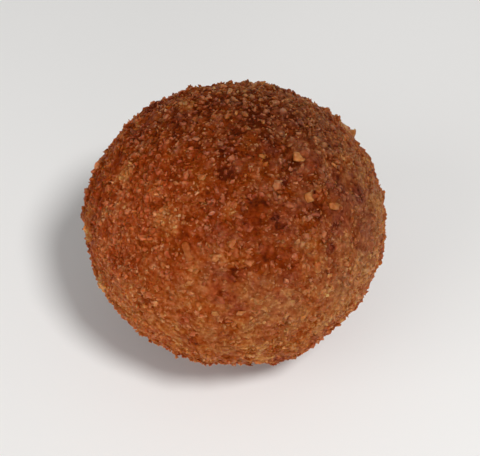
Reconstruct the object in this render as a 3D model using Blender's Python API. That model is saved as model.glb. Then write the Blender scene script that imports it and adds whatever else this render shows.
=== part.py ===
"""A breaded and fried ball of alheira paste, the size of a golf ball, as one solid.

The ball was rolled by hand, so it is a little wider than it is tall, with shallow lumps round its
rim. Its coat of dry breadcrumbs is modelled as relief: pebbles with creases between them, and the
coarsest crumbs fused on at their true size. It rests on a small flat spot.
Metres, +Z up. The origin is at the middle of the resting spot.
"""

import math
import random

import bmesh
import bpy
from mathutils import Euler, Matrix, Vector, noise

MM = 0.001

# The rolled ball, between its smooth sides
BALL_WIDTH = 43.3 * MM
BALL_DEPTH = 42.0 * MM
BALL_HEIGHT = 39.5 * MM
SPOT_DEPTH = 0.6 * MM  # what lies flat under the ball, measured up from its lowest point

# Lumps on the ring that faces somebody who looks down at the ball by LOOK_DOWN from the front:
# the angle round the ring from +X, the height and the half width
LOOK_DOWN = math.radians(50)
RIM_LUMPS = (
    (76, 0.12 * MM, 10),
    (100, -0.22 * MM, 12),
    (140, 0.38 * MM, 12),
    (174, 0.66 * MM, 14),
    (216, -0.17 * MM, 9),
    (235, 0.28 * MM, 9),
    (268, -0.42 * MM, 11),
    (291, 0.76 * MM, 11),
    (311, -0.33 * MM, 9),
    (331, -0.41 * MM, 10),
)

# The crumb coat between the coarse crumbs
SWELL_SPACING = 9.0 * MM
SWELL_HEIGHT = 0.25 * MM
PEBBLE_SPACING = 3.2 * MM
PEBBLE_HEIGHT = 0.50 * MM
CREASE_DEPTH = 0.30 * MM
CREASE_SHARE = 0.35  # of the pebble spacing, where the side of a pebble slopes down
GRIT_SPACING = 1.3 * MM
GRIT_HEIGHT = 0.50 * MM
PRESSED_FLAT = (-0.90, -0.955)  # where the coat's relief fades and is gone, as sines of the height angle

# The coarsest crumbs, fused on the coat. A crumb is a frustum with one side drawn out.
CRUMB_COUNT = 140
CRUMB_LENGTH = (1.3 * MM, 2.2 * MM)
CRUMB_WIDTH = 0.78  # of its length
CRUMB_TOP = 0.62  # width of its top over that of its base
CRUMB_DEPTH = 0.8  # of its length, most of which is sunk in the coat
CRUMB_STANDS = (0.12, 0.26)  # share of its length that stands out of the coat
CRUMB_TILT = math.radians(22)
CRUMB_WANDER = 0.55  # share of the even spacing that a crumb strays from the spiral
BARE_UNDERSIDE = -0.94  # no crumb below this, as the sine of the height angle
SEED = 41

# Crumbs with a place of their own, seen as the rim lumps are: how far across to the right and up
# from the middle of the ball, the length, and the share of the length that stands out
NOTABLE_CRUMBS = (
    (9.4 * MM, 9.2 * MM, 1.9 * MM, 0.30),
    (10.8 * MM, 3.5 * MM, 1.8 * MM, 0.32),
    (13.8 * MM, 2.0 * MM, 1.9 * MM, 0.22),
    (4.5 * MM, 9.4 * MM, 1.4 * MM, 0.26),
    (-5.7 * MM, -3.8 * MM, 2.9 * MM, 0.14),
    (-2.9 * MM, -1.5 * MM, 2.2 * MM, 0.16),
    (0.0 * MM, -3.0 * MM, 1.6 * MM, 0.28),
    (12.4 * MM, -6.0 * MM, 1.7 * MM, 0.24),
)

# Crumbs that stand out on the ring itself, by their angle round it
RIM_CRUMBS = (38, 69, 86, 95, 177, 202, 234, 245, 255, 285, 299, 306, 345)
RIM_CRUMB_LENGTH = 1.8 * MM
RIM_CRUMB_STANDS = 0.27

COAT_COLOUR = (0.262, 0.066, 0.019, 1.0)
COAT_ROUGHNESS = 0.55

CENTRE = Vector((0, 0, BALL_HEIGHT / 2 - SPOT_DEPTH))


def clear_scene():
    for obj in list(bpy.data.objects):
        bpy.data.objects.remove(obj)


def new_collection(name):
    collection = bpy.data.collections.new(name)
    bpy.context.scene.collection.children.link(collection)
    return collection


def new_object(name, mesh, collection):
    obj = bpy.data.objects.new(name, mesh)
    collection.objects.link(obj)
    return obj


def crumb_coat_material():
    material = bpy.data.materials.new("fried_crumb_coat")
    material.use_nodes = True
    shader = material.node_tree.nodes["Principled BSDF"]
    shader.inputs["Base Color"].default_value = COAT_COLOUR
    shader.inputs["Roughness"].default_value = COAT_ROUGHNESS
    shader.inputs["Metallic"].default_value = 0.0
    return material


def ring_direction(angle):
    """The direction at this angle round the ring of rim lumps."""
    up_the_ring = Vector((0, math.sin(LOOK_DOWN), math.cos(LOOK_DOWN)))
    return math.cos(angle) * Vector((1, 0, 0)) + math.sin(angle) * up_the_ring


def rolled_point(direction):
    """The point of the smooth rolled ball, lumps included, that lies in this direction from its middle."""
    half = (BALL_WIDTH / 2, BALL_DEPTH / 2, BALL_HEIGHT / 2)
    reach = 1 / math.sqrt(sum((d / h) ** 2 for d, h in zip(direction, half)))
    for degrees, height, spread in RIM_LUMPS:
        away = direction.angle(ring_direction(math.radians(degrees)))
        reach += height * math.exp(-((away / math.radians(spread)) ** 2))
    return direction * reach


def coat_height(point):
    """How far the crumb coat stands out at a point of the smooth ball. Underneath it is pressed flat."""
    distances, centres = noise.voronoi(point / PEBBLE_SPACING)
    flank = min(1.0, (distances[1] - distances[0]) / CREASE_SHARE)
    pebble = PEBBLE_HEIGHT * noise.noise(centres[0] * 3.7)
    swell = SWELL_HEIGHT * noise.noise(point / SWELL_SPACING)
    grit = GRIT_HEIGHT * noise.noise(point / GRIT_SPACING)
    fades, gone = PRESSED_FLAT
    kept = min(1.0, max(0.0, (point.normalized().z - gone) / (fades - gone)))
    return kept * (swell + pebble + grit - CREASE_DEPTH * (1 - flank))


def coated_point(direction):
    point = rolled_point(direction)
    return point + direction * coat_height(point)


def rolled_ball(collection, material):
    """An even triangle mesh, 81 triangles to each face of the icosphere it starts from."""
    mesh = bpy.data.meshes.new("alheira_ball")
    bm = bmesh.new()
    bmesh.ops.create_icosphere(bm, subdivisions=2, radius=1)
    bmesh.ops.subdivide_edges(bm, edges=bm.edges[:], cuts=8, use_grid_fill=True)
    bmesh.ops.triangulate(bm, faces=bm.faces[:])
    for vert in bm.verts:
        vert.co = CENTRE + coated_point(vert.co.normalized())
    bm.to_mesh(mesh)
    bm.free()
    mesh.materials.append(material)
    return new_object("alheira_ball", mesh, collection)


def seen_direction(across, up):
    """The direction of the spot on the ball that is seen this far across and up from its middle."""
    toward = Vector((0, -math.cos(LOOK_DOWN), math.sin(LOOK_DOWN)))
    away = math.sqrt((BALL_DEPTH / 2) ** 2 - across**2 - up**2)
    return (across * ring_direction(0) + up * ring_direction(math.pi / 2) + away * toward).normalized()


def crumb_shape(name, sides, rng):
    """An angular bread crumb of unit length, with its top at height 0."""
    mesh = bpy.data.meshes.new(name)
    bm = bmesh.new()
    bmesh.ops.create_cone(
        bm,
        cap_ends=True,
        segments=sides,
        radius1=0.5,
        radius2=0.5 * CRUMB_TOP,
        depth=CRUMB_DEPTH,
    )
    bmesh.ops.translate(bm, verts=bm.verts, vec=(0, 0, -CRUMB_DEPTH / 2))
    for vert in bm.verts:
        drawn = rng.uniform(0.85, 1.15)
        vert.co.x *= drawn
        vert.co.y *= drawn * CRUMB_WIDTH
        vert.co.z += rng.uniform(-0.09, 0.05)
    bmesh.ops.triangulate(bm, faces=bm.faces[:])
    bm.to_mesh(mesh)
    bm.free()
    return mesh


def place_crumb(mesh, direction, length, stands, rng, collection):
    """Sinks a crumb into the coat, its top nearly level with it and turned its own way."""
    crumb = new_object(f"crumb_{len(collection.objects)}", mesh, collection)
    crumb.location = CENTRE + coated_point(direction) + direction * stands * length
    tilt = Euler((rng.uniform(-CRUMB_TILT, CRUMB_TILT), rng.uniform(-CRUMB_TILT, CRUMB_TILT), 0))
    spin = Euler((0, 0, rng.uniform(0, math.tau)))
    upright = direction.to_track_quat("Z", "Y").to_matrix()
    crumb.rotation_euler = (upright @ tilt.to_matrix() @ spin.to_matrix()).to_euler()
    crumb.scale = (length, length, length)


def spiral_direction(index, count):
    """Evenly spread directions, from the top of the ball to its underside."""
    height = 1 - 2 * (index + 0.5) / count
    turn = index * math.pi * (3 - math.sqrt(5))
    level = math.sqrt(1 - height * height)
    return Vector((level * math.cos(turn), level * math.sin(turn), height))


def coarse_crumbs(collection):
    """The crumbs with a place of their own, then a spread of others that keeps clear of those."""
    rng = random.Random(SEED)
    shapes = [crumb_shape(f"crumb_shape_{sides}", sides, rng) for sides in (5, 4, 6, 5, 4)]
    taken = []
    for across, up, length, stands in NOTABLE_CRUMBS:
        direction = seen_direction(across, up)
        place_crumb(shapes[len(taken) % len(shapes)], direction, length, stands, rng, collection)
        taken.append(direction)
    for degrees in RIM_CRUMBS:
        direction = ring_direction(math.radians(degrees))
        place_crumb(
            shapes[len(taken) % len(shapes)], direction, RIM_CRUMB_LENGTH, RIM_CRUMB_STANDS, rng, collection
        )
        taken.append(direction)
    spacing = math.sqrt(4 * math.pi / CRUMB_COUNT)
    stray = CRUMB_WANDER * spacing / 2
    for index in range(CRUMB_COUNT):
        spread = Vector([rng.uniform(-stray, stray) for _ in range(3)])
        direction = (spiral_direction(index, CRUMB_COUNT) + spread).normalized()
        length = rng.uniform(*CRUMB_LENGTH)
        stands = rng.uniform(*CRUMB_STANDS)
        if direction.z < BARE_UNDERSIDE:
            continue
        if any(direction.angle(other) < 0.45 * spacing for other in taken):
            continue
        place_crumb(shapes[index % len(shapes)], direction, length, stands, rng, collection)


def apply_boolean(obj, name, operation, collection):
    """Joins or cuts obj by every object of a collection, then removes those."""
    modifier = obj.modifiers.new(name, "BOOLEAN")
    modifier.operation = operation
    modifier.operand_type = "COLLECTION"
    modifier.collection = collection
    modifier.solver = "EXACT"
    bpy.context.view_layer.update()
    graph = bpy.context.evaluated_depsgraph_get()
    made = bpy.data.meshes.new_from_object(obj.evaluated_get(graph))
    obj.modifiers.remove(modifier)
    obj.data = made
    for used in list(collection.objects):
        bpy.data.objects.remove(used)


def centre_over_origin(obj):
    """Moves the mesh sideways until the middle of its box is over the origin."""
    xs = [vert.co.x for vert in obj.data.vertices]
    ys = [vert.co.y for vert in obj.data.vertices]
    aside = Vector((-(min(xs) + max(xs)) / 2, -(min(ys) + max(ys)) / 2, 0))
    obj.data.transform(Matrix.Translation(aside))


def floor_cutter(collection):
    """A block whose top is the level that the ball rests on."""
    side = 2 * BALL_WIDTH
    mesh = bpy.data.meshes.new("floor_cutter")
    bm = bmesh.new()
    bmesh.ops.create_cube(bm, size=side)
    bmesh.ops.translate(bm, verts=bm.verts, vec=(0, 0, -side / 2))
    bm.to_mesh(mesh)
    bm.free()
    cutter = new_object("floor_cutter", mesh, collection)
    cutter.hide_render = True
    cutter.display_type = "WIRE"


def main():
    clear_scene()
    food = new_collection("alheira_ball")
    crumbs = new_collection("coarse_crumbs")
    cutters = new_collection("cutters")
    ball = rolled_ball(food, crumb_coat_material())
    coarse_crumbs(crumbs)
    apply_boolean(ball, "fuse_crumbs", "UNION", crumbs)
    centre_over_origin(ball)
    floor_cutter(cutters)
    apply_boolean(ball, "resting_spot", "DIFFERENCE", cutters)
    ball.data.shade_flat()


main()
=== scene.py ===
"""The looks of a deep-fried alheira ball: its breadcrumb coat, the loose-edged crumbs that are stuck
in it, and a plain pale table in soft light.

The coat follows the solid ball and replaces it. Every crumb is a small mesh of its own shape, sunk
in the coat. How brown, dry and red a spot is comes from one rule for the coat and the crumbs on it:
broad zones that the frying left, with zones at the foot and the right rim that are partly painted
light, patches and blotches inside them, clumps of crumbs of one shade, painted shade where the spot
lies deep and painted highlight where it stands up, and each crumb's own luck. The coat between the
crumbs is painted browner as shade, and the pale dust on the tops is painted highlight.
"""

import math

import bpy
import numpy as np
from bpy.props import FloatProperty, FloatVectorProperty, IntProperty, PointerProperty
from bpy.types import Operator, Panel, PropertyGroup
from mathutils import Matrix, Vector, noise
from mathutils.kdtree import KDTree


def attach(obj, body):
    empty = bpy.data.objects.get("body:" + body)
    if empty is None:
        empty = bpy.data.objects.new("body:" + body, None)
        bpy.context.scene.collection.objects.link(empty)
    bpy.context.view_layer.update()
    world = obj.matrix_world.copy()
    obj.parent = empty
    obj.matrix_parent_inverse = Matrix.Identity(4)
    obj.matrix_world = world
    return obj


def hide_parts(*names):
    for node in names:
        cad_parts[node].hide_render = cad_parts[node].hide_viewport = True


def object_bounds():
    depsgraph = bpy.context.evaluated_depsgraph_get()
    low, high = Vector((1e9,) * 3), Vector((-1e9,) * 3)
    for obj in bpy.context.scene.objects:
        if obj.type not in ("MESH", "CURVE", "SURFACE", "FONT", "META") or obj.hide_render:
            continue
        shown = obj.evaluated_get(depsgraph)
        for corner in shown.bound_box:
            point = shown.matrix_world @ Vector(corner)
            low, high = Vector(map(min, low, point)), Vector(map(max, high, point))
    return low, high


bl_info = {
    "name": "Fried Alheira Ball",
    "version": (1, 0, 0),
    "blender": (4, 5, 0),
    "location": "3D View > Sidebar > Alheira",
    "description": "Dresses the solid ball in fried breadcrumbs and sets it on a table",
    "category": "Object",
}

MM = 0.001
# Vector noise starts from the clock unless it has a seed
noise.seed_set(1)
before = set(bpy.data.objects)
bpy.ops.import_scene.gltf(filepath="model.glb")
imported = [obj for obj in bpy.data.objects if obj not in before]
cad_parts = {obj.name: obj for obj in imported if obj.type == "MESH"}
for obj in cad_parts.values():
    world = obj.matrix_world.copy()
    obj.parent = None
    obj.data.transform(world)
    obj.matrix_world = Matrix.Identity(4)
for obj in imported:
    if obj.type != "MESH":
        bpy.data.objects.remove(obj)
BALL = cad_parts["alheira_ball"]
CAD_BOX = [list(corner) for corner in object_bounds()]
LOW, HIGH = (Vector(corner) for corner in CAD_BOX)
# Directions are counted from this point, a little below half the ball's height
MIDDLE_BELOW_HALF = 0.54 * MM
MIDDLE = Vector((0, 0, (LOW.z + HIGH.z) / 2 - MIDDLE_BELOW_HALF))
# Patches, blotches and clumps are laid out on a sphere of this radius round it
RADIUS = (HIGH.y - LOW.y) / 2
LOOK_DOWN = math.radians(50)
# The lens in mm on a sensor 36 mm wide, and the width of the picture at the ball's middle
LENS, SENSOR = 100, 36
PICTURE = 69.6 * MM
# The picture's width in pixels, and how far its middle lies right of the ball's and below it
PIXELS_WIDE = 480
AIM_RIGHT, AIM_BELOW = 7.8, 5.2
ACROSS = Vector((1, 0, 0))
UPWARD = Vector((0, math.sin(LOOK_DOWN), math.cos(LOOK_DOWN)))
TOWARD = Vector((0, -math.cos(LOOK_DOWN), math.sin(LOOK_DOWN)))


def linear(code):
    """An sRGB hex colour as linear red, green, blue and alpha."""
    shares = [int(code[i : i + 2], 16) / 255 for i in (1, 3, 5)]
    return (*[s / 12.92 if s <= 0.04045 else ((s + 0.055) / 1.055) ** 2.4 for s in shares], 1.0)


def seen(across, up):
    """The direction of the spot on the ball that the camera sees this far across and up from the
    ball's middle, in mm. What misses the ball is taken as its rim."""
    beside = (across * ACROSS + up * UPWARD) * MM
    eye = MIDDLE + TOWARD * PICTURE * LENS / SENSOR
    hit, place, _, _ = BALL.ray_cast(eye, (MIDDLE + beside - eye).normalized())
    return (place - MIDDLE if hit else beside).normalized()


def heading(azimuth, height):
    """The direction at this azimuth, counted from the front to the right, and this height."""
    a, h = math.radians(azimuth), math.radians(height)
    return Vector((math.sin(a) * math.cos(h), -math.cos(a) * math.cos(h), math.sin(h)))


# How brown the coat is runs from 0, hardly coloured, to 1, scorched. Its dryness runs from 0,
# soaked with fat, to 1, dry and greyer, and its redness from 0, golden, to 1, red with paprika fat.
# The fourth value is how loose the crumbs are, from 0, fused in a smooth crust, to 1, standing out
# with gaps between them. All four start from one level for the whole ball.
BASE = (0.45, 0.19, 0.48, 0.50)

# Broad zones that the frying left. Those at the foot of the front and along the right rim, paler,
# drier and less red, are partly painted light that brightens the rim towards its edge. The columns:
# the middle, the reach in degrees, the changes in browning, dryness, redness and looseness
ZONES = (
    (seen(3, 17), 40, 0.06, 0.23, -0.14, 0.45),  # crown
    (seen(2, 20.5), 24, -0.05, 0.21, -0.48, 0.10),  # the crown's far edge, dry and olive
    (seen(13, 15), 26, 0.08, 0.21, -0.12, -0.15),  # upper right, dry
    (seen(1, 3), 55, 0.04, 0.22, 0.20, 0.00),  # the middle, red with fat
    (seen(9, 6), 26, -0.02, -0.11, -0.06, -0.05),
    (seen(14, 3), 16, -0.02, -0.32, -0.06, 0.00),
    (seen(-14, 2), 32, -0.04, -0.50, 0.57, 0.00),  # left cheek, amber and oily
    (seen(-14, 12), 24, 0.01, 0.17, -0.08, 0.10),
    (seen(-18, -3), 22, -0.10, -0.48, 0.19, 0.12),
    (seen(15, 5), 24, 0.03, 0.31, 0.05, 0.00),
    (seen(-10, -13), 36, -0.07, -0.12, 0.20, -0.08),  # lower left
    (seen(-15.5, -13), 18, -0.12, -0.39, -0.10, 0.00),
    (seen(2, -17), 34, -0.07, 0.14, -0.42, -0.32),  # foot of the front, paler, drier and less red, partly as painted light on the lower rim
    (seen(19.5, 1), 24, 0.04, 0.23, -0.09, -0.18),  # right flank, pale and dry, partly as painted light and sheen on the rim
    (seen(14, -14), 26, -0.04, 0.01, -0.12, -0.05),  # lower right
    # lower right rim, paler and drier, partly as painted light on the rim
    (seen(18.5, -9), 18, -0.09, 0.32, -0.13, 0.00),
    # right rim, drier and less red, partly as painted sheen on the rim
    (seen(21.5, 4), 15, -0.03, 0.16, -0.42, -0.30),
    (seen(17.5, 12), 15, 0.00, 0.00, 0.00, -0.30),
    (seen(-20.5, 4), 11, 0.10, -0.21, 0.27, -0.25),
    (seen(-13, -4), 22, 0.01, 0.29, -0.45, 0.28),
    (heading(150, 10), 34, -0.14, 0.15, 0.05, -0.10),  # the pale band goes on round the back
    (heading(215, -5), 30, -0.10, 0.10, 0.30, 0.10),
    (heading(180, 45), 36, 0.12, 0.00, 0.20, 0.20),
    (heading(0, -90), 40, 0.16, 0.00, 0.30, -0.30),  # underside
)

# Patches that lay against the pan or in the oil longer or shorter, seen from the front and above:
# across and up in mm, radius in mm, the changes in browning and in dryness
PATCHES = (
    (3.3, 15.2, 2.4, 0.07, 0.0),
    (0.8, 13.3, 1.8, 0.06, 0.0),
    (5.7, 11.8, 2.1, 0.11, 0.0),
    (-3.2, 17.2, 2.4, 0.11, 0.0),
    (-8.2, 15.1, 2.1, 0.12, 0.0),
    (-6.1, 13.6, 1.8, -0.03, 0.0),
    (0.0, 10.3, 1.8, 0.10, 0.0),
    (3.8, 3.1, 1.8, 0.16, -0.1),
    (3.4, -0.3, 2.0, 0.07, -0.1),
    (7.2, -0.3, 1.5, 0.18, 0.0),
    (8.1, 7.8, 1.8, 0.10, 0.0),
    (11.9, 2.0, 1.8, 0.14, 0.0),
    (16.2, 5.7, 1.6, -0.10, 0.0),
    (13.6, 1.8, 1.2, 0.05, 0.0),
    (5.3, -5.6, 2.7, 0.08, -0.1),
    (0.8, -7.6, 1.5, 0.17, 0.0),
    (-6.1, -16.8, 1.5, 0.21, -0.1),
    (-1.4, -10.8, 2.0, 0.09, 0.0),
    (-13.1, 13.5, 2.1, 0.13, 0.0),
    (-18.7, 3.8, 1.5, 0.04, 0.0),
    (-6.4, -2.3, 1.8, 0.09, -0.1),
    (-15.0, -5.2, 1.8, 0.11, 0.0),
    (-15.5, 7.3, 1.8, -0.23, 0.0),
    (-11.3, 4.9, 1.3, -0.12, 0.0),
    (-9.1, 0.4, 2.4, -0.19, 0.0),
    (-15.8, 2.0, 2.1, -0.10, 0.0),
    (-4.5, 6.2, 1.3, -0.10, 0.0),
    (-0.3, 1.8, 1.2, -0.17, 0.0),
    (-5.6, -5.2, 2.1, -0.04, 0.0),
    (-5.0, -8.3, 1.8, -0.05, 0.0),
    (9.4, -12.5, 1.8, -0.01, 0.1),
    (3.7, -15.1, 1.5, -0.03, 0.0),
    (1.0, -12.7, 1.2, 0.15, 0.0),
    (-9.8, -14.5, 1.5, -0.00, 0.0),
    (-10.8, 17.2, 1.8, 0.46, 0.0),
    (9.0, 15.2, 1.8, 0.14, 0.0),
    (12.0, -3.1, 1.8, -0.12, 0.0),
    (2.6, 11.6, 1.4, -0.14, 0.0),
    (-2.1, 3.2, 1.6, 0.14, 0.0),
    (16.9, 9.4, 1.6, -0.15, 0.0),
    (15.3, 0.1, 1.5, 0.15, 0.0),
    (9.5, 1.6, 1.5, 0.12, 0.0),
    (0.0, -5.9, 1.6, -0.13, 0.0),
    (-19.0, -8.9, 1.6, -0.16, 0.0),
    (-17.0, -5.2, 1.6, 0.22, 0.0),
    (8.5, -7.3, 1.6, 0.10, 0.0),
    (-21.0, -1.5, 1.5, -0.24, 0.0),
    (7.7, 19.1, 1.5, 0.21, 0.0),
    (1.7, 9.4, 1.3, -0.06, 0.0),
    (-6.6, 17.2, 1.5, -0.22, 0.0),
    (-15.1, 14.0, 1.6, 0.10, 0.0),
    (4.6, -20.1, 1.8, -0.21, 0.0),
    (21.4, 2.6, 1.5, -0.21, 0.0),
    (-18.4, 1.7, 1.4, -0.25, 0.0),
)
# What faces the camera by less than this cosine gets as many patches for its size, at random:
# their radius in mm, the mean and spread of their changes in browning, and the spread in dryness
HIDDEN_SIDE = 0.25
STRAY_PATCHES = 90
STRAY_PATCH_RADIUS = (1.2, 2.7)
STRAY_PATCH_BROWNING = (0.02, 0.12)
STRAY_PATCH_DRYNESS = 0.06
# A patch that is browner than its zone is also redder, by this much for each step of browning
REDNESS_OF_BROWNING = 2.6
# The greater this power, the sharper the edges of the patches
PATCH_STEEPNESS = 3
# How far the edges of patches and clumps run in and out round the crumbs, and how wide the bends
# are, in mm
PATCH_BEND, PATCH_BEND_WIDTH = 0.6, 1.1
CLUMP_BEND, CLUMP_BEND_WIDTH = 0.45, 0.7
# Soft blotches over everything: their size and their changes
BLOTCH_SIZE = 3.0 * MM
BLOTCH_BROWNING = 0.0425
BLOTCH_DRYNESS = 0.18
BLOTCH_REDNESS = 0.18
BLOTCH_LOOSENESS = 0.5
# Where each of the last three is taken from the noise
BLOTCH_SHIFTS = ((7, 3, 5), (2, 9, 4), (4, 1, 8))
# Crumbs that came off one piece of rusk form a clump of one shade: how many there are, how far
# their browning, dryness, redness and looseness differ, and how much drier the paler ones are
CLUMPS = 2600
CLUMP_CHANGE = (0.05, 0.04, 0.12, 0.25)
CLUMP_DRYNESS_OF_PALENESS = 0.1
# Painted shade and highlight by depth: what lies deep between the crumbs is painted browner and
# fattier, partly for the fat that gathers there and partly as painted shade in the creases, and what
# stands up is painted paler and drier, as painted highlight on the tops. The limits say over how many
# spans this goes on above the middle and below it
DEPTH_PAINTED_SHADE = 0.21
DEPTH_MIDDLE = 0.12 * MM
DEPTH_SPAN = 0.32 * MM
DEPTH_LIMITS = (-0.6, 1)
# Crumbs of this length and more count as coarse, and smaller ones by their share of it
COARSE = 0.9 * MM
# How much deeper coarse crumbs and the smallest sit where they are fused, as shares of their height
FUSED_DEPTH = (0.10, 0.40)
# How much coarse crumbs differ where they are fused, and all crumbs where they are loose
FUSED_CONTRAST, LOOSE_CONTRAST = 1.1, 1.5
LUCK_SPREAD = 1.7
# One crumb in five is much paler than the rest and one in eight darker, by this much browning
PALE_SHARE = 0.20
PALENESS = (0.05, 0.18)
DARK_SHARE = 0.12
DARKNESS = (0.05, 0.14)
# How far dryness and redness differ from crumb to crumb
CRUMB_SPREAD = 0.04
# What is paler than its surroundings is drier and greyer, by this much for each step of browning
DRYNESS_OF_PALENESS = 0.5
# For each step of painted shade by depth, what lies deep is painted this much fattier, and what
# stands up this much drier and greyer, as highlight
DRYNESS_OF_PAINTED_SHADE = 2.2
# Even the least red crumb took up some paprika fat
LEAST_REDNESS = 0.12
# The coat, which shows only in the gaps between the crumbs, is painted a little browner than the
# crumbs on it, as shade in those gaps
COAT_PAINTED_SHADE = 0.04

# How strong these are where browning or looseness is 0, and how far that rises up to 1
CLUMPS_BY_LOOSENESS = (1.5, -1.15)
RELIEF_BY_LOOSENESS = (0.6, 0.7)
DEPTH_BY_LOOSENESS = (0.45, 0.7)
DEPTH_BY_BROWNING = (0.15, 1.8)
LUCK_BY_BROWNING = (0.35, 1.4)
PALENESS_BY_BROWNING = (0.3, 1.4)
# The dust's paleness, which is painted highlight
DUST_BY_BROWNING = (0.15, 1.1)
DUST_BY_LOOSENESS = (0.35, 0.8)

# Spots of a crumb's size or a few, as the patches
SPOTS = (
    (-0.6, 7.0, 1.0, 0.30, 0.0),
    (6.6, 0.4, 0.7, 0.22, 0.1),
    (7.6, 5.9, 0.7, 0.22, 0.1),
    (0.0, -7.6, 0.9, 0.18, 0.0),
    (16.0, 5.2, 1.6, 0.14, 0.1),
    (18.8, 4.2, 1.3, 0.13, 0.0),
    (14.3, -4.0, 0.8, 0.26, 0.0),
    (12.4, -6.0, 0.9, -0.16, -0.2),
)

# Where crumbs fell off and left smooth crust, as the patches: across, up and radius in mm
BARE_SPOTS = (
    (17.6, 13.3, 1.2),
    (16.2, 5.7, 2.0),
    (12.7, 2.3, 1.0),
    (14.6, 1.4, 1.1),
    (16.6, 1.0, 1.2),
    (11.4, 9.6, 1.3),
    (3.9, 1.8, 1.5),
    (-6.9, -2.2, 1.3),
    (-16.4, 8.9, 1.2),
    (-3.0, -9.8, 1.4),
    (5.6, -5.2, 1.2),
    (-12.2, 15.2, 1.4),
)
# More of them at random on the hidden side, of this radius in mm
STRAY_BARE_SPOTS = 26
STRAY_BARE_RADIUS = (1.0, 2.0)
# The chance that a crumb is missing is this many times the bareness of its place, and flakes keep
# off what is barer than this
CRUMBS_LOST = 1.3
FLAKE_BARENESS = 0.25

# Crumbs that are told apart in the view from the front and above: across and up in mm, length in
# mm, width and height as shares of it, the turn in degrees, browning, dryness and redness
NOTABLE_CRUMBS = (
    (9.55, 9.3, 1.70, 0.85, 0.30, -54, 0.37, 0.22, 0.0),
    (11.2, 3.6, 1.35, 1.00, 0.33, 70, 0.42, 0.12, 0.0),
    (15.0, 2.2, 2.30, 0.40, 0.28, -44, 0.47, 0.10, 0.0),
    (4.6, 9.5, 0.85, 0.90, 0.40, 0, 0.46, 0.15, 0.1),
    (5.2, 8.5, 1.05, 0.60, 0.35, 0, 0.52, 0.00, 0.2),
    (2.0, 15.5, 0.90, 0.70, 0.40, 15, 0.46, 0.35, 0.3),
    (-0.5, 15.3, 1.00, 0.65, 0.40, 70, 0.46, 0.30, 0.4),
    (0.6, 15.9, 1.00, 0.50, 0.35, 80, 0.46, 0.25, 0.1),
    (-2.6, 15.5, 1.00, 0.80, 0.35, 0, 0.46, 0.25, 0.4),
    (-5.2, 15.1, 0.80, 0.80, 0.40, 0, 0.46, 0.30, 0.3),
    (4.6, 14.6, 0.80, 0.80, 0.40, 0, 0.52, 0.40, 0.3),
    (14.8, 8.2, 1.10, 0.40, 0.40, 80, 0.46, 0.30, 0.1),
    (-4.4, 6.6, 1.10, 0.70, 0.35, 20, 0.40, 0.15, 0.2),
    (-8.1, 5.6, 0.90, 0.60, 0.35, 20, 0.42, 0.00, 0.5),
    (-6.2, -4.2, 2.70, 0.45, 0.10, 118, 0.50, 0.00, 0.3),
    (0.0, -3.2, 1.15, 0.95, 0.40, 0, 0.39, 0.10, 0.4),
    (-2.2, -5.1, 1.10, 0.80, 0.35, 45, 0.36, 0.10, 0.4),
    (-9.9, -6.3, 0.85, 0.80, 0.40, 0, 0.36, 0.10, 0.2),
    (12.4, -6.0, 1.20, 0.85, 0.35, 30, 0.42, 0.00, 0.5),
    (14.2, -7.7, 0.90, 0.80, 0.40, 0, 0.32, 0.25, 0.2),
    (10.3, -13.8, 0.90, 0.80, 0.40, 0, 0.30, 0.20, 0.2),
    (1.4, -13.2, 1.10, 0.70, 0.40, 10, 0.34, 0.25, 0.2),
    (-2.3, -13.2, 0.85, 0.90, 0.40, 0, 0.34, 0.20, 0.2),
)
# Up to this height, as a share of their length, they are flat pieces with straight edges
FLAT_CRUMB = 0.34
# Each has a bare seat whose radius is this share of its length, and its middle lies above the coat
# by this share of its height. Its painted shade and highlight by depth are as if it were this loose
# and this high
NOTABLE_SEAT = 0.85
NOTABLE_LIFT = 0.45
NOTABLE_LOOSENESS = 0.5
NOTABLE_HEIGHT = 0.1 * MM
# The directions of all these spots, found while the solid is still there
WAYS = {spot[:2]: seen(*spot[:2]) for spot in (*PATCHES, *SPOTS, *BARE_SPOTS, *NOTABLE_CRUMBS)}

# The crumbs by size: shapes, lengths in mm, least distance in mm, lift and tone as scatter_crumbs
# takes them, and the seed
CRUMB_SIZES = (
    ("coarse", "chunks", (1.2, 1.8), 2.4, (-0.50, -0.2), (0.04, 0.3), 21),
    ("large", "chunks", (0.80, 1.30), 1.3, (-0.38, -0.04), (0.05, 0.6), 25),
    ("middling", "grains", (0.6, 0.95), 0.66, (-0.30, 0.02), (0.06, 1.0), 22),
    ("fine", "grains", (0.34, 0.60), 0.50, (-0.38, 0.10), (0.05, 1.1), 23),
)
# The width and height of crumbs, dust and flakes, as shares of their length
CRUMB_SECTION = ((0.55, 1.0), (0.55, 0.9))
DUST_SECTION = ((0.6, 1.0), (0.5, 0.9))
FLAKE_SECTION = ((0.4, 0.65), (0.16, 0.24))
# The greater this power, the more of them are hardly longer than the least length
CRUMB_SMALLNESS, DUST_SMALLNESS = 1.6, 1.5
# How far they lean, in degrees
CRUMB_LEAN, FLAKE_LEAN = 40, 12
# The middle of a crumb stays this many lengths above the table, and that of a flake this high
CLEARANCE = 0.7
FLAKE_CLEARANCE = 1.5 * MM

# Dust: lengths and least distance, the lift of its middle as a share of its height, how much paler
# it is painted, as highlight on the tops it lies on, and how far its dryness and redness differ
DUST_LENGTHS = (0.24 * MM, 0.50 * MM)
DUST_SPACING = 0.48 * MM
DUST_LIFT = 0.1
DUST_PAINTED_HIGHLIGHT = (0.03, 0.25)
DUST_SPREAD = (0.05, 0.06)
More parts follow.
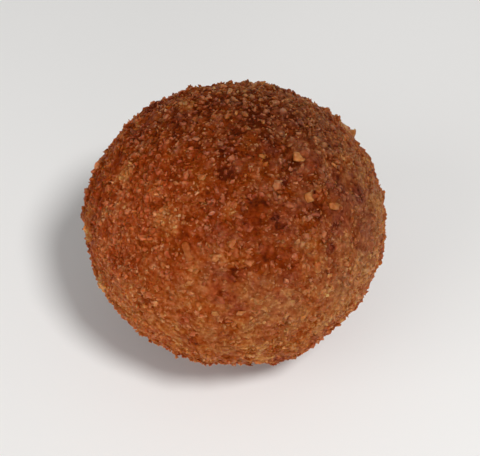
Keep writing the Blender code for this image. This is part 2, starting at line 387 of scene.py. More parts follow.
# It lies on the sides of crumbs that face outward by at least this cosine, so that its painted
# highlight falls on the tops, in drifts of this size: its chance between them and how much greater
# it is in them, and the least chance
DUST_FACING = 0.80
DRIFT_SIZE = 2.4 * MM
DUST_BY_DRIFT = (0.25, 1.6)
LEAST_DUST = 0.03

# Flakes: lengths in mm and least distance, the lift as for dust, and the mean and spread of their
# changes in browning, dryness and redness
FLAKE_LENGTHS = (1.2, 2.0)
FLAKE_SPACING = 4.0 * MM
FLAKE_LIFT = 0.2
FLAKE_CHANGES = ((-0.02, 0.08), (0.04, 0.08), (0, 0.15))

# A crumb of unit length: how far its corners are drawn out, and how far from its middle flat breaks
# cut it off. A block, which starts as a cube, is less drawn out and less cut
JITTER, BLOCK_JITTER = 0.25, 0.06
BREAKS = (0.26, 0.38)
BLOCK_BREAKS_FURTHER = 0.07
# How far lumps and hollows change it, as a share of its radius, and how many fit in its length
KNOBBLINESS = 0.75
KNOBS = 3.2
# On its square of the map, the middle and the size of its top and of its underside, and the margin
TOP_ON_MAP = (0.41, 0.72)
UNDERSIDE_ON_MAP = (0.88, 0.16)
MAP_MARGIN = 0.01

# The coat starts as a cube of this width, whose six sides keep this margin on the map
COAT_START = 50 * MM
COAT_MAP_MARGIN = 0.006
# The browning at which bread soaked with fat and dry bread have each of their colours
COLOUR_STOPS = (
    {"pale": 0.06, "golden": 0.26, "amber": 0.44, "russet": 0.62, "umber": 0.80, "scorched": 0.98},
    {"dry_pale": 0.06, "dry": 0.46, "dry_dark": 0.98},
)
# How far mottling and, on the coat, the luck of single grains change the browning
MOTTLING, GRAIN_LUCK = 0.15, 0.07
# What the colours are multiplied by where there is least and most paprika in the fat
GOLDEN_STAIN = (1.0, 1.15, 0.92, 1.0)
RED_STAIN = (1.0, 0.86, 1.06, 1.0)
# Roughness where oil stands on the coat and on a crumb, and where they are dry
COAT_ROUGHNESS, CRUMB_ROUGHNESS, DRY_ROUGHNESS = 0.38, 0.18, 0.50


def colour(name, description, code):
    return FloatVectorProperty(
        name=name, description=description, subtype="COLOR", size=4, min=0, max=1,
        default=linear(code),
    )


def length_of(name, description, default):
    return FloatProperty(name=name, description=description, default=default, unit="LENGTH")


def count_of(name, description, default):
    return IntProperty(
        name=name, description=f"At most how many {description}", default=default, min=0
    )


class BrowningColours(PropertyGroup):
    """What fried breadcrumb looks like from hardly coloured to scorched."""

    pale: colour("Pale crumb", "Crumb that the oil hardly coloured", "#CE8F5E")
    golden: colour("Golden crumb", "Lightly fried crumb", "#B26637")
    amber: colour("Amber crumb", "Crumb fried to an even brown", "#9A4A1D")
    russet: colour("Russet crumb", "Well fried crumb, soaked with paprika-red fat", "#843509")
    umber: colour("Umber crumb", "Darkly fried crumb", "#6B2605")
    scorched: colour("Scorched crumb", "Crumb that has begun to burn", "#4C1905")
    dry_pale: colour("Dry pale crumb", "Crumb with little fat in it, greyer than the rest", "#B98762")
    dry: colour("Dry crumb", "The same, fried to an even brown", "#8C5C42")
    dry_dark: colour("Dry dark crumb", "The same, begun to burn", "#42221A")


class CoatSettings(PropertyGroup):
    """The continuous coat under the separate crumbs."""

    sunk: length_of("Sunk", "How far the coat lies under the solid's surface", 0.05 * MM)
    lump_size: length_of("Lump size", "Spacing of the lumps that crumbs form together", 1.5 * MM)
    lump_height: length_of("Lump height", "Height of those lumps", 0.37 * MM)
    grain_size: length_of("Grain size", "Spacing of the grains that the coat is made of", 0.65 * MM)
    grain_height: length_of("Grain height", "Height of those grains", 0.20 * MM)


class CrumbSettings(PropertyGroup):
    """The separate crumbs that are stuck in the coat."""

    coarse_count: count_of("Coarse crumbs", "crumbs of 1.2 to 1.8 mm", 450)
    large_count: count_of("Large crumbs", "crumbs of 0.8 to 1.3 mm", 2100)
    middling_count: count_of("Middling crumbs", "crumbs of 0.6 to 0.95 mm", 6500)
    fine_count: count_of("Fine crumbs", "crumbs of 0.34 to 0.6 mm", 8700)
    dust_count: count_of("Dust", "crumbs of 0.24 to 0.5 mm on top of the rest", 2800)
    flake_count: count_of("Flakes", "thin flakes of crust", 40)


class StageSettings(PropertyGroup):
    """Camera, light and table."""

    look_down: FloatProperty(
        name="Look down", description="How far the camera looks down on the ball",
        default=LOOK_DOWN, subtype="ANGLE",
    )
    lens: FloatProperty(
        name="Lens", description="Focal length on a sensor 36 mm wide, in mm", default=LENS, min=10,
    )
    table: colour("Table", "Colour of the table top", "#F2F1EF")


def deselect():
    if bpy.context.mode != "OBJECT":
        bpy.ops.object.mode_set(mode="OBJECT")
    bpy.ops.object.select_all(action="DESELECT")


def add_modifier(piece, kind, **settings):
    """Adds a modifier with its settings and applies it."""
    modifier = piece.modifiers.new(kind.title(), kind)
    for name, value in settings.items():
        setattr(modifier, name, value)
    bpy.ops.object.modifier_apply(modifier=modifier.name)


def add_node(tree, kind, inputs=None, **settings):
    """Adds a node, with its settings and with each input set to a value or linked to a socket."""
    node = tree.nodes.new(kind)
    for name, value in settings.items():
        setattr(node, name, value)
    for name, value in (inputs or {}).items():
        if isinstance(value, bpy.types.NodeSocket):
            tree.links.new(value, node.inputs[name])
        else:
            node.inputs[name].default_value = value
    return node


def add_math(tree, operation, *values):
    """The result of a sum with these values or sockets."""
    node = add_node(tree, "ShaderNodeMath", dict(enumerate(values)), operation=operation)
    return node.outputs["Value"]


def add_range(tree, value, least, most, low, high):
    """A socket's value, moved from the range least to most into the range low to high."""
    inputs = {"Value": value, "From Min": least, "From Max": most, "To Min": low, "To Max": high}
    return add_node(tree, "ShaderNodeMapRange", inputs).outputs["Result"]


def add_mix(tree, factor, first, second, blend_type="MIX"):
    """The mix of two colours."""
    node = add_node(
        tree, "ShaderNodeMix", {0: factor, 6: first, 7: second},
        data_type="RGBA", blend_type=blend_type, clamp_factor=True,
    )
    return node.outputs[2]


def points_of(mesh, kind="co"):
    """A mesh's points, or with the kind normal the ways out of it there."""
    points = np.empty(len(mesh.vertices) * 3, np.float32)
    mesh.vertices.foreach_get(kind, points)
    return points.reshape(-1, 3).astype(float)


def set_attribute(mesh, name, values):
    attribute = mesh.attributes.new(name, "FLOAT", "POINT")
    attribute.data.foreach_set("value", np.asarray(values, np.float32))


def set_look(mesh, look):
    """Stores browning, dryness and redness, the first three columns, for the material to read. The
    browning and dryness also hold the painted shade and highlight by depth.
    """
    least = (0, 0, LEAST_REDNESS)
    for name, values, floor in zip(("browning", "dryness", "redness"), look.T, least):
        set_attribute(mesh, name, np.clip(values, floor, 1))


def along(line, share):
    """The value at this share of a line, which is given as its start and its rise."""
    return line[0] + line[1] * share


def at_surface(directions):
    return np.array(MIDDLE) + np.atleast_2d(directions) * RADIUS


def everywhere(count, rng):
    """Random directions, evenly spread over the ball but away from the side in PATCHES."""
    found = []
    while len(found) < count:
        way = rng.normal(size=3)
        way /= np.linalg.norm(way)
        if way @ np.array(TOWARD) < HIDDEN_SIDE:
            found.append(way)
    return np.array(found)


def patches():
    """Every patch and spot as (middle, radius, browning, dryness)."""
    rng = np.random.default_rng(7)
    found = [
        (at_surface(WAYS[across, up])[0], radius * MM, browner, drier)
        for across, up, radius, browner, drier in (*PATCHES, *SPOTS)
    ]
    for middle in at_surface(everywhere(STRAY_PATCHES, rng)):
        browner = rng.normal(*STRAY_PATCH_BROWNING)
        radius = rng.uniform(*STRAY_PATCH_RADIUS) * MM
        found.append((middle, radius, browner, rng.normal(0, STRAY_PATCH_DRYNESS)))
    return found


def closeness(points, middle, radius, steepness=2):
    """1 at the middle of a patch, falling to 0 beyond its radius, with a sharper edge the greater
    the steepness."""
    return np.exp(-((((points - middle) ** 2).sum(1) / radius**2) ** (steepness / 2)))


def distances(points):
    """How far these points are from the ball's middle."""
    return np.linalg.norm(points - np.array(MIDDLE), axis=1)


def outward(points):
    return (points - np.array(MIDDLE)) / distances(points)[:, None]


def clump_changes(points):
    """The change that each point's clump makes. Clumps have ragged edges."""
    rng = np.random.default_rng(17)
    ways = rng.normal(size=(CLUMPS, 3))
    middles = at_surface(ways / np.linalg.norm(ways, axis=1)[:, None])
    tree = KDTree(CLUMPS)
    for index, middle in enumerate(middles):
        tree.insert(middle, index)
    tree.balance()
    changes = rng.uniform(-1, 1, (CLUMPS, 4)) * CLUMP_CHANGE
    changes[:, 1] -= CLUMP_DRYNESS_OF_PALENESS * changes[:, 0]
    changes[:, 2] += REDNESS_OF_BROWNING * changes[:, 0]
    found = []
    for point in points:
        bend = noise.noise_vector(Vector(point) / (CLUMP_BEND_WIDTH * MM)) * CLUMP_BEND * MM
        found.append(tree.find(Vector(point) + bend)[1])
    return changes[found]


def cooking(points):
    """The browning, dryness, redness and looseness of the coat at these points, in four columns,
    from its zones, patches, blotches and clumps. The zones at the foot of the front and along the
    right rim are partly painted light."""
    directions = outward(points)
    level_points = at_surface(directions)
    look = np.tile(BASE, (len(points), 1))
    for middle, reach, *change in ZONES:
        angle = np.arccos(np.clip(directions @ np.array(middle), -1, 1))
        look += np.outer(np.exp(-((angle / math.radians(reach)) ** 2)), change)
    bends = [
        noise.noise_vector(Vector(p) / (PATCH_BEND_WIDTH * MM)) * (PATCH_BEND * MM)
        for p in level_points
    ]
    ragged = level_points + bends
    for middle, radius, browner, drier in patches():
        change = (browner, drier, REDNESS_OF_BROWNING * browner, 0.0)
        look += np.outer(closeness(ragged, middle, radius, PATCH_STEEPNESS), change)
    places = [Vector(p) / BLOTCH_SIZE for p in level_points]
    browner = BLOTCH_BROWNING * np.array([noise.fractal(p, 0.7, 2.1, 3) for p in places])
    shifts = [Vector(shift) for shift in BLOTCH_SHIFTS]
    shades = np.array([[noise.noise(p + shift) for shift in shifts] for p in places])
    look[:, 0] += browner
    look[:, 1] += BLOTCH_DRYNESS * shades[:, 0]
    look[:, 2] += REDNESS_OF_BROWNING * browner + BLOTCH_REDNESS * shades[:, 1]
    strength = along(CLUMPS_BY_LOOSENESS, np.clip(look[:, 3:], 0, 1))
    look += clump_changes(level_points) * strength
    look[:, 3] = np.clip(look[:, 3] + BLOTCH_LOOSENESS * shades[:, 2], 0, 1)
    return look


def paint_shade_by_depth(look, heights):
    """Paints shade and highlight by depth: makes what lies deep browner and fatter, partly for fat
    and partly as painted shade in the creases, and what stands up paler and drier, as painted
    highlight, for the heights above the coat's mean level.
    """
    depth = np.clip((DEPTH_MIDDLE - heights) / DEPTH_SPAN, *DEPTH_LIMITS)
    strength = along(DEPTH_BY_LOOSENESS, look[:, 3])
    browner = DEPTH_PAINTED_SHADE * strength * along(DEPTH_BY_BROWNING, look[:, 0]) * depth
    look[:, 0] += browner
    look[:, 1] -= DRYNESS_OF_PAINTED_SHADE * browner


def bareness(points):
    """1 where crumbs fell off or a notable crumb sits, and 0 where the coat is whole."""
    rng = np.random.default_rng(9)
    level_points = at_surface(outward(points))
    bare = np.zeros(len(points))
    seats = [(across, up, NOTABLE_SEAT * length) for across, up, length, *_ in NOTABLE_CRUMBS]
    for across, up, radius in (*BARE_SPOTS, *seats):
        middle = at_surface(WAYS[across, up])[0]
        bare = np.maximum(bare, closeness(level_points, middle, radius * MM))
    for middle in at_surface(everywhere(STRAY_BARE_SPOTS, rng)):
        radius = rng.uniform(*STRAY_BARE_RADIUS) * MM
        bare = np.maximum(bare, closeness(level_points, middle, radius))
    return bare


def fried_crumb_material(name, glaze, coat=False):
    """Dry breadcrumb fried in fat. Its browning runs from tan to nearly black, it is rough like
    rusk, and a thin film of oil gives it small soft glints. On the coat itself, grains too fine
    to be meshes are drawn as cells and bumps."""
    colours = bpy.context.scene.alheira_colours
    material = bpy.data.materials.new(name)
    material.use_nodes = True
    tree = material.node_tree
    shader = tree.nodes["Principled BSDF"]
    place = add_node(tree, "ShaderNodeTexCoord").outputs["Object"]
    browning, dryness, redness = (
        add_node(tree, "ShaderNodeAttribute", attribute_name=name).outputs["Fac"]
        for name in ("browning", "dryness", "redness")
    )
    # Mottling of about 0.6 mm that runs on from crumb to crumb
    inputs = {"Vector": place, "Scale": 1 / (0.6 * MM), "Detail": 1.0, "Roughness": 0.5}
    mottle = add_node(tree, "ShaderNodeTexNoise", inputs).outputs["Fac"]
    mottled = add_range(tree, mottle, 0.25, 0.75, -MOTTLING, MOTTLING)
    level = add_math(tree, "ADD", browning, mottled)
    if coat:
        # Each grain of the coat, 0.5 mm across, has its own browning
        inputs = {"Vector": place, "Scale": 1 / (0.5 * MM)}
        grain = add_node(tree, "ShaderNodeTexVoronoi", inputs).outputs
        parts = add_node(tree, "ShaderNodeSeparateColor", {"Color": grain["Color"]}).outputs
        luck = add_range(tree, parts["Red"], 0, 1, -GRAIN_LUCK, GRAIN_LUCK)
        level = add_math(tree, "ADD", level, luck)
        # Rounded grains and a finer grit stand out by about a tenth of a millimetre
        inputs = {"Vector": place, "Scale": 1 / (0.22 * MM), "Detail": 2.0}
        grit = add_node(tree, "ShaderNodeTexNoise", inputs).outputs["Fac"]
        relief = add_math(tree, "SUBTRACT", grit, grain["Distance"])
        bump = add_node(
            tree, "ShaderNodeBump", {"Height": relief, "Distance": 0.12 * MM, "Strength": 0.6}
        )
        tree.links.new(bump.outputs["Normal"], shader.inputs["Normal"])
    shades = []
    for stops in COLOUR_STOPS:
        ramp = add_node(tree, "ShaderNodeValToRGB", {"Fac": level})
        elements = ramp.color_ramp.elements
        while len(elements) < len(stops):
            elements.new(0.5)
        for element, (name, position) in zip(elements, stops.items()):
            element.position = position
            element.color = getattr(colours, name)
        shades.append(ramp.outputs["Color"])
    drier = add_math(tree, "MULTIPLY_ADD", mottled, -DRYNESS_OF_PALENESS, dryness)
    dried = add_mix(tree, drier, *shades)
    # Plain oil leaves bread golden, and paprika fat turns it a few degrees of hue redder
    stain = add_mix(tree, redness, GOLDEN_STAIN, RED_STAIN)
    coloured = add_mix(tree, 1.0, dried, stain, "MULTIPLY")
    tree.links.new(coloured, shader.inputs["Base Color"])
    # The crumbs are smoother than the coat where the oil stands on them
    least = COAT_ROUGHNESS if coat else CRUMB_ROUGHNESS
    roughness = add_range(tree, mottle, 0.3, 0.7, least, DRY_ROUGHNESS)
    tree.links.new(roughness, shader.inputs["Roughness"])
    shader.inputs["IOR"].default_value = 1.46
    shader.inputs["Specular IOR Level"].default_value = glaze
    # What shines is fat that took its colour from paprika
    shader.inputs["Specular Tint"].default_value = linear("#FFE8D6")
    # Light goes a few tenths of a millimetre into bread soaked with fat, the red of it furthest
    shader.inputs["Subsurface Weight"].default_value = 0.75
    shader.inputs["Subsurface Radius"].default_value = (1.0, 0.30, 0.10)
    shader.inputs["Subsurface Scale"].default_value = 0.80 * MM
    return material


def crumb_shapes(prefix, count, subdivisions, cuts, seed, block=False):
    """Different crumbs of unit length as (points, triangles, places on the map), each a knobbly
    lump with, where it broke off the rusk, flat breaks. A block starts as a cube with bevelled
    edges and stays angular."""
    rng = np.random.default_rng(seed)
    jitter = BLOCK_JITTER if block else JITTER / subdivisions
    shapes = []
    for index in range(count):
        deselect()
        if block:
            bpy.ops.mesh.primitive_cube_add(size=0.9)
        else:
            bpy.ops.mesh.primitive_ico_sphere_add(subdivisions=subdivisions, radius=0.5)
        crumb = bpy.context.active_object
        crumb.name = f"{prefix}_shape_{index}"
        bpy.ops.object.mode_set(mode="EDIT")
        bpy.ops.mesh.select_all(action="SELECT")
        if block:
            bpy.ops.mesh.bevel(offset=0.1, segments=1)
            bpy.ops.mesh.subdivide(number_cuts=1)
        bpy.ops.transform.vertex_random(
            offset=jitter, uniform=1.0, seed=int(rng.integers(1, 10000))
        )
        for _ in range(cuts):
            # Blocks are cut across rather than from above
            way = rng.normal(size=3) * (1, 1, 0.2 if block else 1)
            way /= np.linalg.norm(way)
            bpy.ops.mesh.select_all(action="SELECT")
            bpy.ops.mesh.bisect(
                plane_co=tuple(way * (rng.uniform(*BREAKS) + BLOCK_BREAKS_FURTHER * block)),
                plane_no=tuple(way),
                use_fill=True,
                clear_outer=True,
            )
        bpy.ops.mesh.select_all(action="SELECT")
        bpy.ops.mesh.quads_convert_to_tris()
        bpy.ops.mesh.normals_make_consistent(inside=False)
        bpy.ops.object.mode_set(mode="OBJECT")
        mesh = crumb.data
        triangles = np.array([tuple(face.vertices) for face in mesh.polygons])
        # On the map the top of the crumb is seen from above, and its underside is a small copy
        # beside it
        points = points_of(mesh)
        corners = points[triangles.ravel()][:, :2]
        down = np.repeat([face.normal.z < 0 for face in mesh.polygons], 3)[:, None]
        spread = np.where(down, along(UNDERSIDE_ON_MAP, corners), along(TOP_ON_MAP, corners))
        spread = np.clip(spread, MAP_MARGIN, 1 - MAP_MARGIN)
        if not block:
            shift = Vector(rng.uniform(-50, 50, 3))
            points *= [[1 + KNOBBLINESS * noise.noise(Vector(p) * KNOBS + shift)] for p in points]
        points -= (points.max(0) + points.min(0)) / 2
        if block:
            points /= np.ptp(points, axis=0)
        shapes.append((points, triangles, spread))
        bpy.data.objects.remove(crumb)
    return shapes


def even_spread(points, count, spacing, rng):
    """Indices of points at least this far apart, drawn at random until there are enough."""
    cells = np.floor(points / spacing).astype(int)
    taken = {}
    chosen = []
    around = [(i, j, k) for i in (-1, 0, 1) for j in (-1, 0, 1) for k in (-1, 0, 1)]
    for index in rng.permutation(len(points)):
        x, y, z = cells[index]
        point = points[index]
        near = [n for i, j, k in around for n in taken.get((x + i, y + j, z + k), ())]
        if near and (np.square(points[near] - point).sum(1) < spacing * spacing).any():
            continue
        taken.setdefault((x, y, z), []).append(index)
        chosen.append(index)
        if len(chosen) == count:
            break
    return np.array(chosen)


def upright(normal, tilt, spin):
    """A rotation that lays a crumb's flat side on the coat, tilted and spun."""
    lay = Vector(normal).to_track_quat("Z", "Y").to_matrix()
    lean = Matrix.Rotation(tilt[0], 3, "X") @ Matrix.Rotation(tilt[1], 3, "Y")
    return np.array(lay @ lean @ Matrix.Rotation(spin, 3, "Z"))


def random_turn(normal, lean, rng):
    """The same with a random tilt of up to so many degrees and a random spin."""
    tilt = np.radians(rng.uniform(-lean, lean, 2))
    return upright(normal, tilt, rng.uniform(0, math.tau))


def random_length(lengths, smallness, rng):
    return lengths[0] + (lengths[1] - lengths[0]) * rng.random() ** smallness


def random_size(length, section, rng):
    """A crumb's length, width and height."""
    return length * np.array([1.0, *(rng.uniform(*shares) for shares in section)])


def join_crumbs(name, shapes, places, material):
    """One mesh of many crumbs. A place is (shape, centre, rotation, size, look, way out of the
    coat, height of the centre over its mean level), and the look is browning, dryness, redness and
    looseness."""
    points, triangles, looks, spots = [], [], [], []
    grid = math.ceil(math.sqrt(len(places)))
    start = 0
    for index, (shape, centre, rotation, size, look, way, height) in enumerate(places):
        own, faces, spread = shapes[shape]
        turned = (own * size) @ rotation.T
        points.append(turned + centre)
        triangles.append(faces + start)
        own_look = np.tile(look, (len(own), 1)).astype(float)
        # Each crumb is painted darker on its sunk side and paler on its top, as painted shade and
        # highlight
        paint_shade_by_depth(own_look, height + turned @ way)
        looks.append(own_look)
        # Each crumb has a square of its own on the map, for its colours
        spots.append((np.array([index % grid, index // grid]) + spread) / grid)
        start += len(own)
    mesh = bpy.data.meshes.new(name)
    mesh.from_pydata(np.concatenate(points), [], np.concatenate(triangles))
    mesh.polygons.foreach_set("use_smooth", np.ones(len(mesh.polygons), bool))
    layer = mesh.uv_layers.new(name="OFBake")
    layer.data.foreach_set("uv", np.concatenate(spots).astype(np.float32).ravel())
    set_look(mesh, np.concatenate(looks))
    mesh.materials.append(material)
    piece = bpy.data.objects.new(name, mesh)
    bpy.context.scene.collection.objects.link(piece)
    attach(piece, "root")


def coat_surface():
    """The coat's points, the ways out of it there and its heights over its mean level."""
    coat = bpy.data.objects["crumb_coat"].data
    heights = np.empty(len(coat.vertices), np.float32)
    coat.attributes["raised"].data.foreach_get("value", heights)
    return points_of(coat), points_of(coat, "normal"), heights.astype(float)


def scatter_crumbs(name, shapes, count, lengths, spacing, lift, tone, seed, material):
    """Crumbs of these lengths spread over the coat. Their middles lie above it by lift = (least,
    most) as a share of their height, and tone = (spread, share of PALENESS and DARKNESS) is how
    much their browning differs."""
    rng = np.random.default_rng(seed)
    points, normals, heights = coat_surface()
    chosen = even_spread(points, count, spacing, rng)
    places = []
    for index, look, gone in zip(chosen, cooking(points[chosen]), bareness(points[chosen])):
        if rng.random() < CRUMBS_LOST * gone:
            continue
        length = random_length(lengths, CRUMB_SMALLNESS, rng)
        size = random_size(length, CRUMB_SECTION, rng)
        way = normals[index]
        turn = random_turn(way, CRUMB_LEAN, rng)
        # Where the crumbs are loose they differ more and stand out further, and the pale ones are
        # the dry ones
        coarseness = min(length / COARSE, 1)
        fused_contrast = FUSED_CONTRAST * coarseness**2
        contrast = fused_contrast + (LOOSE_CONTRAST - fused_contrast) * look[3]
        spread = tone[0] * contrast * along(LUCK_BY_BROWNING, look[0])
        luck = spread * rng.uniform(-LUCK_SPREAD, LUCK_SPREAD)
        draw = rng.random()
        if draw < PALE_SHARE:
            paleness = tone[1] * rng.uniform(*PALENESS) * contrast
            luck -= paleness * along(PALENESS_BY_BROWNING, look[0])
        elif draw > 1 - DARK_SHARE:
            luck += tone[1] * rng.uniform(*DARKNESS)
        drier = rng.normal(0, CRUMB_SPREAD) - DRYNESS_OF_PALENESS * luck
        look = look + (luck, drier, rng.normal(0, CRUMB_SPREAD), 0)
        fused_depth = FUSED_DEPTH[1] + (FUSED_DEPTH[0] - FUSED_DEPTH[1]) * coarseness
        above = (rng.uniform(*lift) - fused_depth * (1 - look[3])) * size[2]
        centre = points[index] + way * above
        if centre[2] < CLEARANCE * length:
            continue
        shape = int(rng.integers(len(shapes)))
        places.append((shape, centre, turn, size, look, way, heights[index] + above))
    join_crumbs(name, shapes, places, material)


def scatter_dust_and_highlights(count, shapes, seed, material):
    """Crumb dust on top of the coat and its crumbs, in drifts, painted paler than what it lies on, as
    highlight on the tops.
    """
    rng = np.random.default_rng(seed)
    points, normals, _ = coat_surface()
    for kind, *_ in CRUMB_SIZES:
        crumbs = bpy.data.objects[f"{kind}_crumbs"].data
        own, own_normals = points_of(crumbs), points_of(crumbs, "normal")
        top = (own_normals * outward(own)).sum(1) > DUST_FACING
        points = np.concatenate((points, own[top]))
        normals = np.concatenate((normals, own_normals[top]))
    drift = np.array([noise.fractal(Vector(p) / DRIFT_SIZE, 0.8, 2.0, 2) for p in points])
    likely = rng.random(len(points)) < np.clip(along(DUST_BY_DRIFT, drift), LEAST_DUST, 1)
    points, normals = points[likely], normals[likely]
    chosen = even_spread(points, count, DUST_SPACING, rng)
    places = []
    for index, look in zip(chosen, cooking(points[chosen])):
        length = random_length(DUST_LENGTHS, DUST_SMALLNESS, rng)
        size = random_size(length, DUST_SECTION, rng)
        way = normals[index]
        turn = random_turn(way, CRUMB_LEAN, rng)
        centre = points[index] + way * DUST_LIFT * size[2]
        if centre[2] < CLEARANCE * length:
            continue
        # The dust is painted paler than what it lies on, as highlight, and drier with it
        strength = along(DUST_BY_BROWNING, look[0]) * along(DUST_BY_LOOSENESS, look[3])
        paler = strength * rng.uniform(*DUST_PAINTED_HIGHLIGHT)
        drier = rng.normal(0, DUST_SPREAD[0]) + DRYNESS_OF_PALENESS * paler
        look = look + (-paler, drier, rng.normal(0, DUST_SPREAD[1]), 0)
        look[3] = 0
        shape = int(rng.integers(len(shapes)))
        places.append((shape, centre, turn, size, look, way, DEPTH_MIDDLE))
    join_crumbs("crumb_dust", shapes, places, material)


class MakeCrumbCoat(Operator):
    """Wrap the solid ball in its continuous coat of breadcrumbs"""

    bl_idname = "alheira.make_crumb_coat"
    bl_label = "Crumb coat"

    def execute(self, context):
        settings = context.scene.alheira_coat
        deselect()
        bpy.ops.mesh.primitive_cube_add(size=COAT_START, location=MIDDLE)
        coat = context.active_object
        coat.name = coat.data.name = "crumb_coat"
        # The six sides share one map, three by two
        layer = coat.data.uv_layers[0]
        layer.name = "OFBake"
        for face in coat.data.polygons:
            corner = Vector((face.index % 3, face.index // 3))
            for loop, (u, v) in zip(face.loop_indices, ((0, 0), (1, 0), (1, 1), (0, 1))):
                inside = (COAT_MAP_MARGIN, 1 - 2 * COAT_MAP_MARGIN)
                spot = corner + Vector((along(inside, u), along(inside, v)))
                layer.data[loop].uv = (spot.x / 3, spot.y / 2)
        add_modifier(
            coat, "SUBSURF", subdivision_type="SIMPLE", levels=7, render_levels=7,
            uv_smooth="NONE", boundary_smooth="ALL",
        )
        add_modifier(
            coat, "CAST", cast_type="SPHERE", factor=1.0, use_radius_as_size=False,
            size=COAT_START / 2,
        )
        add_modifier(
            coat, "SHRINKWRAP", wrap_method="PROJECT", target=BALL, offset=-settings.sunk,
            use_negative_direction=True, use_positive_direction=False,
        )
        add_modifier(coat, "SMOOTH", factor=0.5, iterations=4)
        bpy.ops.object.transform_apply(location=True, rotation=True, scale=True)
        smooth = points_of(coat.data)
        lumps = bpy.data.textures.new("lumps", "VORONOI")
        lumps.noise_scale = settings.lump_size
        lumps.noise_intensity = 1.0
        grains = bpy.data.textures.new("grains", "VORONOI")
        grains.noise_scale = settings.grain_size
        for texture, height in ((lumps, settings.lump_height), (grains, settings.grain_height)):
            add_modifier(
                coat, "DISPLACE", texture=texture, texture_coords="LOCAL",
                direction="NORMAL", mid_level=0.35, strength=-height,
            )
        look = cooking(smooth)
        points = points_of(coat.data)
        points = smooth + (points - smooth) * along(RELIEF_BY_LOOSENESS, look[:, 3:])
        points[:, 2] = np.maximum(points[:, 2], 0.0)
        coat.data.vertices.foreach_set("co", points.astype(np.float32).ravel())
        coat.data.update()
        raised = distances(points) - distances(smooth)
        set_attribute(coat.data, "raised", raised)
        # Painted shade: the coat in the gaps between the crumbs is made browner, then shaded by depth
        look[:, 0] += COAT_PAINTED_SHADE
        paint_shade_by_depth(look, raised)
        set_look(coat.data, look)
        bpy.ops.object.shade_smooth()
        coat.data.materials.append(fried_crumb_material("fried_breadcrumb_coat", 0.02, coat=True))
        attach(coat, "root")
        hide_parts("alheira_ball")
        return {"FINISHED"}


class MakeCrumbs(Operator):
    """Stick separate crumbs of every size in the coat"""

    bl_idname = "alheira.make_crumbs"
    bl_label = "Crumbs"

    def execute(self, context):
        settings = context.scene.alheira_crumbs
        material = fried_crumb_material("fried_breadcrumb", 0.04)
        shapes = {
            "chunks": crumb_shapes("chunk", 8, 2, 2, 11) + crumb_shapes("knob", 8, 2, 0, 15),
            "grains": crumb_shapes("grain", 8, 1, 1, 12) + crumb_shapes("lump", 16, 1, 0, 13),
        }
        few = 1.0
        for kind, form, sizes, spacing, lift, tone, seed in CRUMB_SIZES:
            count = int(getattr(settings, f"{kind}_count") * few)
            lengths = [length * MM for length in sizes]
            scatter_crumbs(
                f"{kind}_crumbs", shapes[form], count, lengths, spacing * MM,
                lift, tone, seed, material,
            )
        dust = crumb_shapes("dust", 8, 1, 2, 14)
        glazed = fried_crumb_material("fat_glazed_breadcrumb", 0.08)
        scatter_dust_and_highlights(int(settings.dust_count * few), dust, 24, glazed)
        return {"FINISHED"}


class MakeFlakes(Operator):
    """Add thin flakes of crust and the crumbs that are told apart in the picture"""

    bl_idname = "alheira.make_flakes"
    bl_label = "Flakes and notable crumbs"

    def execute(self, context):
        settings = context.scene.alheira_crumbs
        material = bpy.data.materials["fried_breadcrumb"]
        blocks = crumb_shapes("block", len(NOTABLE_CRUMBS), 2, 1, 31, block=True)
        knobs = crumb_shapes("notable_knob", len(NOTABLE_CRUMBS), 2, 1, 35)
        points, _, heights = coat_surface()
        directions = outward(points)
        places = []
        for index, (across, up, length, wide, high, turn, *look) in enumerate(NOTABLE_CRUMBS):
            nearest = int(np.argmax(directions @ np.array(WAYS[across, up])))
            way = directions[nearest]
            lay = upright(way, (0, 0), math.radians(turn))
            size = length * MM * np.array([1.0, wide, high])
            centre = points[nearest] + way * size[2] * NOTABLE_LIFT
            shape = index + len(blocks) * (high > FLAT_CRUMB)
            look = (*look, NOTABLE_LOOSENESS)
            places.append((shape, centre, lay, size, look, way, NOTABLE_HEIGHT))
        join_crumbs("notable_crumbs", blocks + knobs, places, material)
        scales = crumb_shapes("scale", 12, 2, 1, 33)
        rng = np.random.default_rng(32)
        chosen = even_spread(points, settings.flake_count, FLAKE_SPACING, rng)
        places = []
        for index, look, gone in zip(chosen, cooking(points[chosen]), bareness(points[chosen])):
            if gone > FLAKE_BARENESS:
                continue
            size = random_size(rng.uniform(*FLAKE_LENGTHS) * MM, FLAKE_SECTION, rng)
            way = directions[index]
            turn = random_turn(way, FLAKE_LEAN, rng)
            centre = points[index] + way * size[2] * FLAKE_LIFT
            if centre[2] < FLAKE_CLEARANCE:
                continue
            look = look + (*(rng.normal(*change) for change in FLAKE_CHANGES), 0)
            shape = int(rng.integers(len(scales)))
            places.append((shape, centre, turn, size, look, way, heights[index]))
        join_crumbs("crust_flakes", scales, places, material)
        return {"FINISHED"}


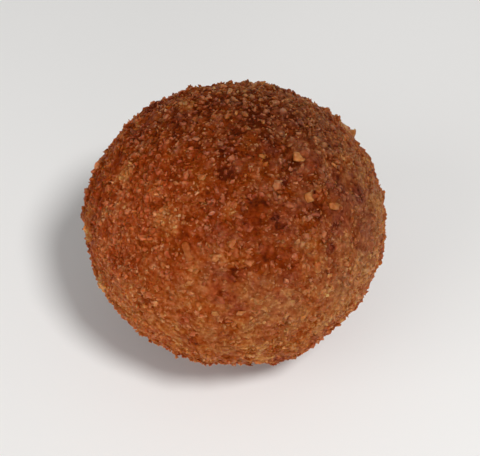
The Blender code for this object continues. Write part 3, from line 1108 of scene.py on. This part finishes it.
class SetStage(Operator):
    """Add the table, the soft light and the camera"""

    bl_idname = "alheira.set_stage"
    bl_label = "Stage"

    def execute(self, context):
        settings = context.scene.alheira_stage
        scene = context.scene
        deselect()
        bpy.ops.mesh.primitive_plane_add(size=4.0, location=(0, 0, 0))
        table = context.active_object
        table.name = "table"
        paint = bpy.data.materials.new("matt_white_table")
        paint.use_nodes = True
        shader = paint.node_tree.nodes["Principled BSDF"]
        shader.inputs["Base Color"].default_value = settings.table
        shader.inputs["Roughness"].default_value = 0.9
        shader.inputs["Specular IOR Level"].default_value = 0.1
        table.data.materials.append(paint)
        world = bpy.data.worlds.new("soft_daylight")
        world.use_nodes = True
        background = world.node_tree.nodes["Background"]
        background.inputs["Color"].default_value = linear("#FFFFFF")
        background.inputs["Strength"].default_value = 0.24
        scene.world = world
        for name, azimuth, height, distance, width, watts in (
            ("softbox", 40, 60, 0.50, 0.12, 1.65),
            ("left_fill", -55, 28, 0.60, 0.50, 0.95),
            ("low_card", 10, 8, 0.50, 0.40, 0.65),
        ):
            place = MIDDLE + heading(azimuth, height) * distance
            bpy.ops.object.light_add(type="AREA", location=place)
            lamp = context.active_object
            lamp.name = name
            lamp.data.shape = "DISK"
            lamp.data.size = width
            lamp.data.energy = watts
            lamp.rotation_mode = "QUATERNION"
            lamp.rotation_quaternion = (lamp.location - MIDDLE).to_track_quat("Z", "Y")
        back = heading(0, math.degrees(settings.look_down))
        distance = PICTURE * settings.lens / SENSOR
        pixel = PICTURE / PIXELS_WIDE
        aim = MIDDLE + ACROSS * AIM_RIGHT * pixel - UPWARD * AIM_BELOW * pixel
        bpy.ops.object.camera_add(location=aim + back * distance)
        camera = context.active_object
        camera.name = "camera"
        camera.data.lens = settings.lens
        camera.data.sensor_width = SENSOR
        camera.data.clip_start = 0.005
        camera.data.clip_end = 20
        camera.rotation_mode = "QUATERNION"
        camera.rotation_quaternion = back.to_track_quat("Z", "Y")
        scene.camera = camera
        scene.view_settings.view_transform = "Standard"
        scene.view_settings.look = "None"
        return {"FINISHED"}


class AlheiraPanel(Panel):
    """Lists the ball's pieces and their settings"""

    bl_idname = "VIEW3D_PT_alheira"
    bl_label = "Fried alheira ball"
    bl_space_type = "VIEW_3D"
    bl_region_type = "UI"
    bl_category = "Alheira"

    def draw(self, context):
        scene = context.scene
        for title, operator, groups in (
            ("Coat", MakeCrumbCoat, (scene.alheira_coat, scene.alheira_colours)),
            ("Crumbs", MakeCrumbs, (scene.alheira_crumbs,)),
            ("Flakes", MakeFlakes, ()),
            ("Stage", SetStage, (scene.alheira_stage,)),
        ):
            box = self.layout.box()
            box.label(text=title)
            for group in groups:
                for name in group.bl_rna.properties.keys():
                    if name not in ("rna_type", "name"):
                        box.prop(group, name)
            box.operator(operator.bl_idname)


GROUPS = {
    "alheira_colours": BrowningColours,
    "alheira_coat": CoatSettings,
    "alheira_crumbs": CrumbSettings,
    "alheira_stage": StageSettings,
}
CLASSES = (*GROUPS.values(), MakeCrumbCoat, MakeCrumbs, MakeFlakes, SetStage, AlheiraPanel)


def register():
    for cls in CLASSES:
        bpy.utils.register_class(cls)
    for name, group in GROUPS.items():
        setattr(bpy.types.Scene, name, PointerProperty(type=group))


def unregister():
    for name in GROUPS:
        delattr(bpy.types.Scene, name)
    for cls in reversed(CLASSES):
        bpy.utils.unregister_class(cls)


def main():
    register()
    bpy.ops.alheira.make_crumb_coat()
    bpy.ops.alheira.make_crumbs()
    bpy.ops.alheira.make_flakes()
    bpy.ops.alheira.set_stage()
    bpy.context.view_layer.update()


if __name__ == "__main__":
    main()
